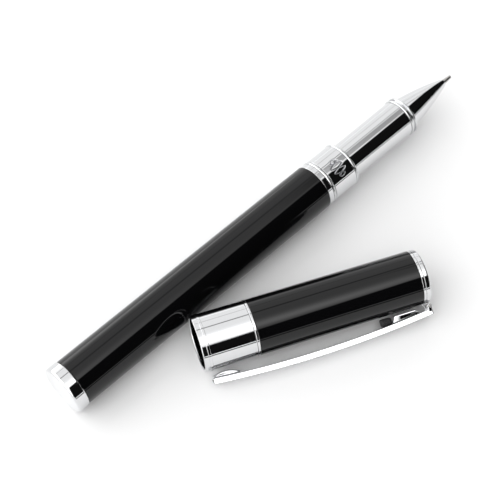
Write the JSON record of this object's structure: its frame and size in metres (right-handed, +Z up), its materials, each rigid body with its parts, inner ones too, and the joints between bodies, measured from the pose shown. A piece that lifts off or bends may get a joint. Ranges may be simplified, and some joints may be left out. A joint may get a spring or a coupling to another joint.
{
  "type": "rollerball pen",
  "caption": "Metal rollerball pen in gloss black and chrome, uncapped, with its clip cap lying beside it; screw-off grip section, sprung refill and hinged clip.",
  "frame": {"origin": "on the surface the object lies on, under the middle of its bounding box", "axes": "+X along the cap, from its mouth to its closed end; the pen is turned 24.4 degrees from +X towards +Y, tail to tip; +Z up"},
  "size_m": [0.1164, 0.0612, 0.0132],
  "materials": {
    "chrome": "mirror-polished chrome plate",
    "black_lacquer": "high-gloss black lacquer over metal",
    "brass": "machined, uncoated",
    "steel": "drawn stainless wire and turned stainless",
    "black_plastic": "moulded, satin",
    "bumper_rubber": "matt black",
    "refill_plastic": "moulded, smooth",
    "ink_fibre": "ink-soaked fibre",
    "carbide": "polished hard ball"
  },
  "bodies": {
    "barrel": {"tail_cap": "chrome", "tail_plug": "brass", "barrel_tube": "black_lacquer", "barrel_trim_ring": "chrome", "barrel_thread_sleeve": "brass", "refill_spring": "steel"},
    "section": {"section_core": "brass", "section_ring_rear": "chrome", "centre_band": "chrome", "section_ring_front": "chrome", "grip_shell": "chrome", "lip_ring": "chrome", "nose_cone": "chrome"},
    "refill": {"refill_tube": "refill_plastic", "refill_rear_plug": "black_plastic", "ink_reservoir": "ink_fibre", "refill_nose": "refill_plastic", "tip_holder": "steel"},
    "ball": {"writing_ball": "carbide"},
    "cap": {"cap_mouth_band": "chrome", "cap_trim_ring": "chrome", "cap_tube": "black_lacquer", "cap_liner": "black_plastic", "cap_inner_cup": "black_plastic", "cap_end_plug": "brass", "cap_end_disc": "chrome", "clip_bracket": "chrome", "clip_hinge_pin": "steel", "clip_hinge_spring": "steel"},
    "clip": {"clip_bar": "chrome", "clip_foot_pad": "chrome", "clip_cheek": "chrome", "clip_bumper": "bumper_rubber"}
  },
  "joints": [
    {"name": "section_travel", "type": "slide", "parent": "barrel", "child": "refill", "axis": [0.9107, 0.4131, 0], "range_m": [0, 0.0045]},
    {"name": "section_turn", "type": "hinge", "parent": "refill", "child": "section", "pos_m": [-0.05588, -0.02141, 0.00596], "axis": [0.9107, 0.4131, 0], "range_deg": [0, 1620]},
    {"name": "ball_roll", "type": "hinge", "parent": "refill", "child": "ball", "pos_m": [0.05781, 0.03017, 0.00596], "axis": [-0.4131, 0.9107, 0], "continuous": true},
    {"name": "cap_slide", "type": "slide", "parent": "barrel", "child": "cap", "axis": [1, 0, 0], "range_m": [0, 0.06]},
    {"name": "clip_hinge", "type": "hinge", "parent": "cap", "child": "clip", "pos_m": [0.02861, -0.02651, 0.00328], "axis": [0, -0.4769, 0.879], "range_deg": [0, 6], "stiffness_Nm_per_rad": 0.3, "springref_deg": -2.86}
  ],
  "couplings": [
    {"joint": "section_turn", "follows": "section_travel", "rad_per_m": 6283.2}
  ]
}
